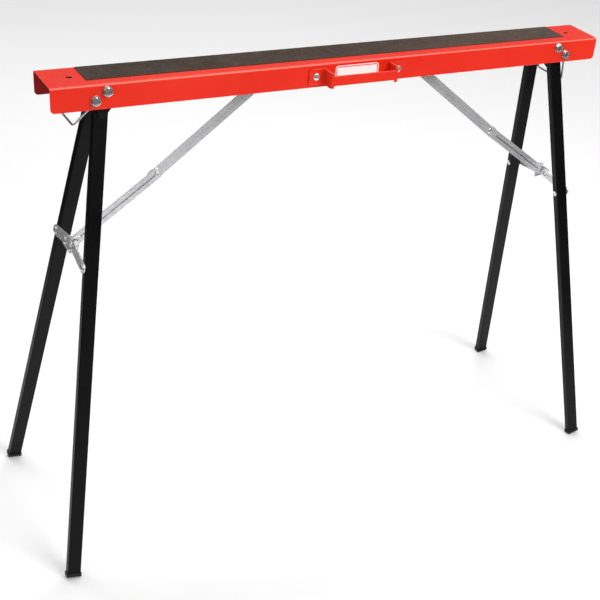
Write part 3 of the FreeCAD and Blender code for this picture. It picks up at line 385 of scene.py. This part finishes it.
# %% Material: black powder coat
def make_black(name, tone, rough_low, rough_high):
    material, tree, shader = start_material(name, 0.0, IOR=1.5, Specular_IOR_Level=0.14)
    clouds = place_group(tree, "Cloudy tone", Scale=9.0, Low=0.3, High=0.7)
    light = tuple(1.8 * c for c in tone)
    body = mix_colour(tree, clouds.outputs["Mask"], tone, light)
    edge_wear_and_sheen = place_group(tree, "Edge wear and painted highlight", Width=0.0007, Amount=0.5, Breakup=160.0)
    body = mix_colour(tree, edge_wear_and_sheen.outputs["Mask"], body, (0.11, 0.11, 0.115))
    marks = place_group(tree, "Scratches", Scale=520.0, Cover=0.35)
    body = mix_colour(tree, math_node(tree, "MULTIPLY", marks.outputs["Mask"], 0.35), body,
                      (0.03, 0.03, 0.032))
    dust = place_group(tree, "Settled dust", Amount=0.12, Scale=160.0)
    body = mix_colour(tree, dust.outputs["Mask"], body, (0.12, 0.11, 0.10))
    wire(tree, body, shader, "Base Color")
    smooth = spread(tree, clouds.outputs["Mask"], 0.0, 1.0, rough_low, rough_high)
    rough = math_node(tree, "ADD", smooth, math_node(tree, "MULTIPLY", marks.outputs["Mask"], 0.2))
    wire(tree, rough, shader, "Roughness")
    peel = place_group(tree, "Orange peel", Scale=480.0, Fine_Share=0.3)
    add_bump(tree, shader, peel.outputs["Height"], 0.00014, 0.6)
    return material


black_coat = make_black("black powder coat", (0.0014, 0.0014, 0.0015), 0.34, 0.44)
bracket_black = make_black("black bracket paint", (0.003, 0.003, 0.0032), 0.42, 0.55)
print("materials made:", black_coat.name, "and", bracket_black.name)

# %% [markdown]
# The feet are moulded plastic: matt, with a fine leathery grain from the mould and grey scuffs
# low down where they drag on concrete. Height above the floor picks out the scuffed part.

# %% Material: black foot plastic
def make_plastic():
    material, tree, shader = start_material("moulded foot plastic", 0.0, IOR=1.46,
                                            Specular_IOR_Level=0.3)
    coords = node(tree, "TexCoord")
    height = node(tree, "SeparateXYZ", None, Vector=coords.outputs["Object"])
    low_down = spread(tree, height.outputs["Z"], 0.007, 0.0)
    scuffed = node(tree, "TexNoise", None, Vector=coords.outputs["Object"], Scale=420.0, Detail=5.0)
    rubbed = math_node(tree, "MULTIPLY", low_down, spread(tree, scuffed.outputs["Fac"], 0.45, 0.62))
    clouds = place_group(tree, "Cloudy tone", Scale=40.0)
    body = mix_colour(tree, clouds.outputs["Mask"], (0.005, 0.005, 0.005), (0.010, 0.010, 0.0095))
    body = mix_colour(tree, math_node(tree, "MULTIPLY", rubbed, 0.6), body, (0.06, 0.058, 0.055))
    wire(tree, body, shader, "Base Color")
    wire(tree, spread(tree, rubbed, 0.0, 1.0, 0.55, 0.85), shader, "Roughness")
    grain = node(tree, "TexVoronoi", None, Vector=coords.outputs["Object"], Scale=1400.0)
    add_bump(tree, shader, grain.outputs["Distance"], 0.0002, 0.5)
    return material


foot_plastic = make_plastic()
print("material made:", foot_plastic.name)

# %% [markdown]
# Galvanised strip makes up the braces, yokes and spreaders. The spangle group gives each zinc
# crystal its own shade and gloss. Rolling marks run along the strip, and rubbed edges show
# brighter metal. Weathered zinc has a thin chalky skin, so it is only part mirror: the metallic
# amount stays under one. The wire and the zinc-plated bolts reuse the recipe with smaller
# crystals.

# %% Material: galvanised steel
def make_zinc(name, dull, bright, crystal, rough_low, rough_high, metal,
              squeeze=(1.0, 1.0, 0.05)):
    material, tree, shader = start_material(name, metal, IOR=1.6)
    spangle = place_group(tree, "Zinc spangle", Scale=crystal)
    body = mix_colour(tree, spangle.outputs["Shade"], dull, bright)
    clouds = place_group(tree, "Cloudy tone", Scale=16.0, Detail=5.0, Low=0.35, High=0.7)
    shaded = mix_colour(tree, clouds.outputs["Mask"], (0.86, 0.86, 0.87), (1.0, 1.0, 1.0))
    body = mix_colour(tree, 1.0, body, shaded, "MULTIPLY")
    edge_wear_and_sheen = place_group(tree, "Edge wear and painted highlight", Width=0.0005, Amount=0.7, Breakup=220.0)
    body = mix_colour(tree, edge_wear_and_sheen.outputs["Mask"], body, (0.90, 0.90, 0.90))
    wire(tree, body, shader, "Base Color")
    marks = place_group(tree, "Scratches", Scale=700.0, Cover=0.45)
    marks.inputs["Squeeze"].default_value = squeeze
    base = spread(tree, spangle.outputs["Shade"], 0.0, 1.0, rough_high, rough_low)
    rough = math_node(tree, "ADD", base, math_node(tree, "MULTIPLY", marks.outputs["Mask"], 0.12))
    wire(tree, rough, shader, "Roughness")
    lines = math_node(tree, "MULTIPLY", marks.outputs["Mask"], 0.4)
    add_bump(tree, shader, math_node(tree, "ADD", spangle.outputs["Height"], lines), 0.00006, 0.5)
    return material


strip_zinc = make_zinc("galvanised strip", (0.70, 0.71, 0.72), (0.88, 0.88, 0.89), 330.0,
                       0.24, 0.38, metal=0.65)
wire_zinc = make_zinc("galvanised wire", (0.62, 0.62, 0.62), (0.80, 0.80, 0.80), 500.0,
                      0.18, 0.30, metal=0.8)
bolt_zinc = make_zinc("zinc plated bolt", (0.56, 0.56, 0.55), (0.74, 0.74, 0.72), 700.0,
                      0.20, 0.32, metal=0.9)
rivet_zinc = make_zinc("bright rivet", (0.76, 0.76, 0.75), (0.92, 0.92, 0.91), 900.0,
                       0.14, 0.24, metal=0.75)
print("materials made:", strip_zinc.name, wire_zinc.name, bolt_zinc.name, rivet_zinc.name)

# %% [markdown]
# White ink: the beam carries a printed panel behind the handle. Screen-printed ink is matt and
# thin, with tiny pinholes where the red shows through.

# %% Material: white ink
def make_ink():
    material, tree, shader = start_material("white panel ink", 0.0, IOR=1.45)
    holes = place_group(tree, "Cloudy tone", Scale=700.0, Detail=2.0, Low=0.70, High=0.76)
    body = mix_colour(tree, holes.outputs["Mask"], (0.88, 0.86, 0.84), (0.75, 0.30, 0.24))
    wire(tree, body, shader, "Base Color")
    wire(tree, spread(tree, holes.outputs["Mask"], 0.0, 1.0, 0.5, 0.35), shader, "Roughness")
    return material


white_ink = make_ink()
print("material made:", white_ink.name)

# %% [markdown]
# Every piece of the frame gets its finish by name. Real sheet metal never has knife-sharp
# corners, so most pieces also get a small bevel. The frame's faces come in as separate islands
# that only share places, so a Weld modifier joins them before the Bevel modifier can find their
# edges, and Weighted Normal keeps the flat faces looking flat. Modifiers leave the frame's own
# mesh as it was.

# %% Give each frame piece its finish
FINISHES = {
    "beam_channel": red_coat, "carry_handle": red_coat, "grip_mat": grip,
    "leg_bracket": bracket_black, "leg_hinge_pins": bracket_black, "leg_tube": black_coat,
    "foot_cap": foot_plastic, "spreader_rivet": rivet_zinc, "spreader": strip_zinc,
    "brace": strip_zinc, "yoke": strip_zinc, "wire_bail": wire_zinc,
    "handle_rivets": rivet_zinc, "middle_rivets": rivet_zinc, "elbow_rivet": rivet_zinc,
    "knee_rivet": rivet_zinc, "anchor_pins": rivet_zinc, "bracket_bolts": bolt_zinc,
    "bracket_nuts": bolt_zinc, "bracket_washers": bolt_zinc,
}
ROUNDING = {"foot_cap": 0.8, "leg_bracket": 0.4, "spreader_": 0.35, "brace": 0.3, "yoke": 0.3,
            "carry_handle": 0.45, "bracket_washers": 0.25, "bracket_nuts": 0.3,
            "beam_channel": 0.35}
JOIN_WITHIN = 0.01 * MM
EDGE_ANGLE = math.radians(40)


def paint(piece, material):
    piece.data.materials.clear()
    piece.data.materials.append(material)


def soften(piece, width):
    weld = piece.modifiers.new("join faces", "WELD")
    weld.merge_threshold = JOIN_WITHIN
    bevel = piece.modifiers.new("soft edges", "BEVEL")
    bevel.width = width * MM
    bevel.segments = 2
    bevel.limit_method = "ANGLE"
    bevel.angle_limit = EDGE_ANGLE
    bevel.use_clamp_overlap = True
    level = piece.modifiers.new("flat faces", "WEIGHTED_NORMAL")
    level.keep_sharp = True


for name, piece in nodes.items():
    start = next(word for word in FINISHES if name.startswith(word))
    paint(piece, FINISHES[start])
    for word, width in ROUNDING.items():
        if name.startswith(word) and "rivet" not in name:
            soften(piece, width)
            break
print("finishes given to", len(nodes), "frame pieces")

# %% [markdown]
# Rivets and bolts are turned shapes, so each is spun from a profile, like clay on a wheel: a list
# of radii and heights that begins and ends on the axis. A hexagon head is the same thing with
# its radius held back to six flat sides. Where the profile's round radius is smaller than the
# hexagon, the round wins, and that is just how a lathe cuts the curved corners of a real head.

# %% Spin a profile about an axis
SEGMENTS = 48
SMOOTH_BELOW = math.radians(32)


def ring_points(radius, height, flats, turn, centre):
    points = []
    for k in range(SEGMENTS):
        angle = 2 * math.pi * k / SEGMENTS
        reach = radius
        if flats:
            from_flat = (angle + math.pi / 6) % (math.pi / 3) - math.pi / 6
            reach = min(radius, flats / 2 / math.cos(from_flat))
        local = Vector((reach * math.cos(angle), reach * math.sin(angle), height))
        points.append(turn @ local + centre)
    return points


def add_turned(mesh, profile, centre, axis, flats=0.0):
    turn = Vector((0, 0, 1)).rotation_difference(Vector(axis)).to_matrix()
    rings = []
    for radius, height in profile:
        if radius == 0:
            rings.append([mesh.verts.new(turn @ Vector((0, 0, height)) + centre)])
        else:
            points = ring_points(radius, height, flats, turn, centre)
            rings.append([mesh.verts.new(point) for point in points])
    for lower, upper in zip(rings, rings[1:]):
        for k in range(SEGMENTS):
            after = (k + 1) % SEGMENTS
            corners = [lower[k % len(lower)], lower[after % len(lower)],
                       upper[after % len(upper)], upper[k % len(upper)]]
            mesh.faces.new(list(dict.fromkeys(corners)))


def finish_mesh(name, mesh, material):
    bmesh.ops.recalc_face_normals(mesh, faces=mesh.faces)
    data = bpy.data.meshes.new(name)
    mesh.to_mesh(data)
    mesh.free()
    data.polygons.foreach_set("use_smooth", [True] * len(data.polygons))
    data.set_sharp_from_angle(angle=SMOOTH_BELOW)
    piece = bpy.data.objects.new(name, data)
    bpy.context.scene.collection.objects.link(piece)
    paint(piece, material)
    return piece


# %% [markdown]
# A rivet starts as a pin with a button head. A press then squashes its plain end into a second,
# flatter head with a small dimple. Both ends are in the profile below, and a little clay-like
# rounding at each corner keeps it from looking cut with a knife.

# %% Profiles of a rivet and a bolt
def button_head(radius, base, height, steps=7):
    rim = 0.2 * height
    points = [(radius, base), (radius, base + rim)]
    for k in range(1, steps):
        angle = math.pi / 2 * k / steps
        points.append((radius * math.cos(angle), base + rim + (height - rim) * math.sin(angle)))
    return points + [(0, base + height)]


def rivet_profile(low, high, head, head_thick, shank, tail, tail_thick):
    """From the squashed tail at low, up the shank, to the top of the button head at high."""
    dimple = low + 0.3 * tail_thick
    lip = low + 0.35 * tail_thick
    foot = [(0, dimple), (0.4 * tail, dimple), (0.55 * tail, low), (0.85 * tail, low),
            (tail, lip), (tail, low + tail_thick), (shank, low + tail_thick)]
    return foot + [(shank, high - head_thick)] + button_head(head, high - head_thick, head_thick)


def bolt_profile(low, base, high, shank, corner):
    """From the bolt's end at low, up the shank, to its dished hexagon head."""
    chamfer, dish = 0.5 * MM, 0.7 * MM
    end = [(0, low), (shank - chamfer, low), (shank, low + chamfer), (shank, base)]
    head = [(corner, base), (corner, high - 1.1 * MM), (0.93 * corner, high - 0.55 * MM),
            (0.86 * corner, high - 0.2 * MM), (0.79 * corner, high), (0.58 * corner, high),
            (0.50 * corner, high - dish), (0, high - dish)]
    return end + head


# %% [markdown]
# The new rivets go exactly where the frame's plain ones are. Measuring a plain pin along its
# joint's axis tells where it starts and ends, how wide its head is, and which way it faces. Each
# new piece is then tied to the body of the piece it stands in for, so that it folds along.

# %% Measure the frame's pins and swap them
PIN_REACH = 30 * MM
BODY_OF = {name: body for body, names in frame["record"]["behaviour"]["bodies"].items()
           for name in names}


def pin_marks(points, centre, axis):
    """Ends along the axis and head radius; the axis is turned to point at the head."""
    heights = [(point - centre).dot(axis) for point in points]
    radii = [(point - centre - axis * h).length for point, h in zip(points, heights)]
    widest = max(radii)
    at_head = [h for h, radius in zip(heights, radii) if radius > 0.97 * widest]
    middle = (min(heights) + max(heights)) / 2
    if sum(at_head) / len(at_head) < middle:
        return -axis, -max(heights), -min(heights), widest
    return axis, min(heights), max(heights), widest


def points_near(node_name, centre, reach):
    found = [vertex.co.copy() for vertex in nodes[node_name].data.vertices]
    return [point for point in found if (point - centre).length < reach]


def settle(piece, node_name):
    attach(piece, BODY_OF[node_name])
    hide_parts(node_name)


def swap_rivets(node_name, places, head_thick, shank, tail, tail_thick):
    mesh = bmesh.new()
    for centre, axis in places:
        near = points_near(node_name, centre, PIN_REACH)
        facing, low, high, widest = pin_marks(near, centre, axis)
        profile = rivet_profile(low, high, widest, head_thick * MM, shank * MM, tail * MM,
                                tail_thick * MM)
        add_turned(mesh, profile, centre, facing)
    settle(finish_mesh(node_name + "_round", mesh, rivet_zinc), node_name)


def hinge(name):
    return Vector(joints[name]["pos_m"]), Vector(joints[name]["axis"]).normalized()


for end in ENDS:
    for side in SIDES:
        swap_rivets(f"spreader_rivet_{end}_{side}", [hinge(f"{end}_{side}_spreader_swing")],
                    head_thick=2.6, shank=3.0, tail=5.0, tail_thick=1.6)
    swap_rivets(f"elbow_rivet_{end}", [hinge(f"{end}_elbow_turn")],
                head_thick=1.4, shank=3.0, tail=4.2, tail_thick=1.0)
swap_rivets("anchor_pins", [hinge(f"{end}_brace_anchor_turn") for end in ENDS],
            head_thick=1.4, shank=3.0, tail=4.2, tail_thick=1.0)
handle_low, handle_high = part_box("handle_rivets")
rivet_z = (handle_low.z + handle_high.z) / 2
head_radius = (handle_high.z - handle_low.z) / 2
swap_rivets("handle_rivets", [
    (Vector((x, handle_low.y, rivet_z)), Vector((0, 1, 0)))
    for x in (handle_low.x + head_radius, handle_high.x - head_radius)],
    head_thick=2.6, shank=3.0, tail=5.0, tail_thick=1.6)
print("round rivets in place of the plain ones: 8 pieces")

# %% [markdown]
# The eight bracket bolts have hexagon heads with a pressed dish in the middle, as cheap forged
# bolts do. A bolt's inner end is a small circle, and the mean of that circle's points is the
# bolt's axis. The nuts inside the beam keep the frame's own shape.

# %% Bracket bolts
BOLT_SHANK, HEAD_FLATS = 3.0 * MM, 13.0 * MM
bolt_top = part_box("bracket_bolts")[1].y
head_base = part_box("bracket_washers")[1].y


def bolt_axes():
    """Middle of each bolt's inner end."""
    points = [vertex.co for vertex in nodes["bracket_bolts"].data.vertices]
    inner = min(abs(point.y) for point in points)
    circles = []
    for point in points:
        if abs(point.y) > inner + 0.05 * MM:
            continue
        near = [c for c in circles if (c[0] - point).length < 2.5 * BOLT_SHANK]
        if near:
            near[0].append(point)
        else:
            circles.append([point])
    middles = []
    for circle in circles:
        low = Vector([min(point[k] for point in circle) for k in range(3)])
        high = Vector([max(point[k] for point in circle) for k in range(3)])
        middles.append((low + high) / 2)
    return middles


mesh = bmesh.new()
bolt_ends = bolt_axes()
for middle in bolt_ends:
    facing = Vector((0, math.copysign(1, middle.y), 0))
    profile = bolt_profile(abs(middle.y), head_base, bolt_top, BOLT_SHANK,
                           1.01 * HEAD_FLATS / math.sqrt(3))
    add_turned(mesh, profile, Vector((middle.x, 0, middle.z)), facing, HEAD_FLATS)
settle(finish_mesh("bracket_bolts_dished", mesh, bolt_zinc), "bracket_bolts")
print("bolts turned:", len(bolt_ends))

# %% [markdown]
# Between the handle's two sides the maker's own beam carries a printed mark. Ours carries a
# plain white panel with a thin border, printed straight on the paint. It is a rounded
# rectangle drawn as loops, one inside the next, with the gap between two of them left open so
# that the red shows through as a line.

# %% Blank panel on the beam
PANEL_WIDE, PANEL_HIGH, PANEL_CORNER = 80 * MM, 21 * MM, 5 * MM
BORDER, GAP = 1.5 * MM, 1.6 * MM
INK_PROUD, BELOW_TOP = 0.06 * MM, 6 * MM
CORNER_STEPS = 8


def panel_loop(mesh, inset, centre):
    half_w, half_h = PANEL_WIDE / 2 - inset, PANEL_HIGH / 2 - inset
    corner = PANEL_CORNER - inset
    loop = []
    for quarter, (sx, sz) in enumerate(((1, 1), (-1, 1), (-1, -1), (1, -1))):
        for step in range(CORNER_STEPS + 1):
            angle = math.pi / 2 * (quarter + step / CORNER_STEPS)
            loop.append(mesh.verts.new((
                centre.x + sx * (half_w - corner) + corner * math.cos(angle), centre.y,
                centre.z + sz * (half_h - corner) + corner * math.sin(angle))))
    return loop


def make_panel():
    grip_low, grip_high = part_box("carry_handle")
    centre = Vector(((grip_low.x + grip_high.x) / 2, beam_low.y - INK_PROUD,
                     beam_high.z - PANEL_HIGH / 2 - BELOW_TOP))
    mesh = bmesh.new()
    loops = [panel_loop(mesh, inset, centre) for inset in (0, BORDER, BORDER + GAP)]
    count = len(loops[0])
    for k in range(count):
        after = (k + 1) % count
        mesh.faces.new([loops[0][k], loops[0][after], loops[1][after], loops[1][k]])
    mesh.faces.new(loops[2])
    panel = finish_mesh("blank_panel", mesh, white_ink)
    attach(panel, "beam")
    return panel


panel = make_panel()
print("panel made:", panel.name)

# %% [markdown]
# The camera stands in front of the sawhorse, to its left and a little above, and looks down
# along the beam. It is given by where it stands and by three turns: round, down and tipped.

# %% Camera
CAMERA_AT = Vector((-0.95065, -1.61826, 1.4196))
CAMERA_ROUND, CAMERA_DOWN, CAMERA_TIP = (math.radians(v) for v in (31.91, 33.10, 6.11))
FILM_WIDE, LENS_LONG, LENS_SHIFT = 36.0, 70.07, (-0.0662, 0.1088)
forward = Vector((math.sin(CAMERA_ROUND) * math.cos(CAMERA_DOWN),
                  math.cos(CAMERA_ROUND) * math.cos(CAMERA_DOWN), -math.sin(CAMERA_DOWN)))
level = Vector((math.cos(CAMERA_ROUND), -math.sin(CAMERA_ROUND), 0))
above = level.cross(forward)
across = level * math.cos(CAMERA_TIP) + above * math.sin(CAMERA_TIP)
upright = above * math.cos(CAMERA_TIP) - level * math.sin(CAMERA_TIP)
lens = bpy.data.cameras.new("camera")
lens.sensor_width = FILM_WIDE
lens.lens = LENS_LONG
lens.shift_x, lens.shift_y = LENS_SHIFT
camera = bpy.data.objects.new("camera", lens)
bpy.context.scene.collection.objects.link(camera)
turn = Matrix((across, upright, -forward)).transposed().to_4x4()
camera.matrix_world = Matrix.Translation(CAMERA_AT) @ turn
bpy.context.scene.camera = camera
print("camera lens:", lens.lens)

# %% [markdown]
# The stand is shown as in a studio, on a plain pale floor that runs out of sight. The floor is
# clear from below, so that the underside can be looked at from there. In paint and zinc the
# floor mirrors white near the legs and dark further out, as it does when black cards stand
# around a studio table: this is what gives the black tubes their dark and grey faces.
# The sky is white where the camera sees it, but it gives the object a gentler light that is
# stronger from above, so that dark paint stays dark.

# %% Floor and sky
CARD_START, CARD_END = 1.0, 1.5
FLOOR_REACH = 40.0


def make_floor():
    mesh = bmesh.new()
    corners = [mesh.verts.new((sx * FLOOR_REACH, sy * FLOOR_REACH, cad_low.z))
               for sx, sy in ((-1, -1), (1, -1), (1, 1), (-1, 1))]
    mesh.faces.new(corners)
    material, tree, shader = start_material("pale studio floor", 0.0, Roughness=0.9)
    clouds = place_group(tree, "Cloudy tone", Scale=0.8)
    tone = mix_colour(tree, clouds.outputs["Mask"], (0.93, 0.93, 0.93), (0.95, 0.95, 0.95))
    wire(tree, tone, shader, "Base Color")
    clear = node(tree, "BsdfTransparent")
    ground = node(tree, "NewGeometry")
    flat = node(tree, "VectorMath", {"operation": "MULTIPLY"}, i0=ground.outputs["Position"],
                i1=(1, 1, 0))
    away = node(tree, "VectorMath", {"operation": "LENGTH"}, i0=flat.outputs[0])
    beyond = spread(tree, away.outputs["Value"], CARD_START, CARD_END)
    path = node(tree, "LightPath")
    carded = math_node(tree, "MULTIPLY", beyond, path.outputs["Is Glossy Ray"])
    card = node(tree, "BsdfDiffuse", None, Color=(0.03, 0.03, 0.03, 1))
    table = node(tree, "MixShader", None, i0=carded, i1=shader.outputs[0], i2=card.outputs[0])
    seen_from = node(tree, "MixShader", None, i0=ground.outputs["Backfacing"],
                     i1=table.outputs[0], i2=clear.outputs[0])
    output = next(n for n in tree.nodes if n.bl_idname == "ShaderNodeOutputMaterial")
    tree.links.new(seen_from.outputs[0], output.inputs["Surface"])
    floor = finish_mesh("studio_floor", mesh, material)
    return floor


floor = make_floor()
world = bpy.data.worlds.new("studio")
bpy.context.scene.world = world
world.use_nodes = True
sky = world.node_tree
sky.nodes.clear()
path = node(sky, "LightPath")
seen = node(sky, "Background", None, Color=(1, 1, 1, 1), Strength=1.0)
felt = node(sky, "Background", None, Color=(1, 1, 1, 1), Strength=0.62)
facing = node(sky, "TexCoord")
height = node(sky, "SeparateXYZ", None, Vector=facing.outputs["Generated"])
glow = spread(sky, height.outputs["Z"], 0.25, 0.85, 0.10, 1.0)
mirrored = node(sky, "Background", None, Color=(1, 1, 1, 1), Strength=glow)
lit = node(sky, "MixShader", None, i0=path.outputs["Is Glossy Ray"], i1=felt.outputs[0],
           i2=mirrored.outputs[0])
both = node(sky, "MixShader", None, i0=path.outputs["Is Camera Ray"], i1=lit.outputs[0],
            i2=seen.outputs[0])
node(sky, "OutputWorld", None, Surface=both.outputs[0])
bpy.context.scene.view_settings.view_transform = "Standard"
print("floor and sky made")

# %% [markdown]
# Two large soft lights shape the metal. The key stands in front, to the right and above, and a
# weaker one hangs overhead behind the beam and lights its top.

# %% Lights
def soft_light(name, place, target, width, height, power):
    light = bpy.data.lights.new(name, "AREA")
    light.shape = "RECTANGLE"
    light.size, light.size_y = width, height
    light.energy = power
    lamp = bpy.data.objects.new(name, light)
    lamp.location = place
    lamp.rotation_euler = (Vector(target) - Vector(place)).to_track_quat("-Z", "Y").to_euler()
    bpy.context.scene.collection.objects.link(lamp)
    return lamp


soft_light("key", (1.1, -3.0, 2.6), (0, 0, 0.6), 1.8, 1.4, 75)
soft_light("overhead", (0.2, 1.2, 3.2), (0, 0, 0.7), 2.6, 0.8, 45)
print("lights made")
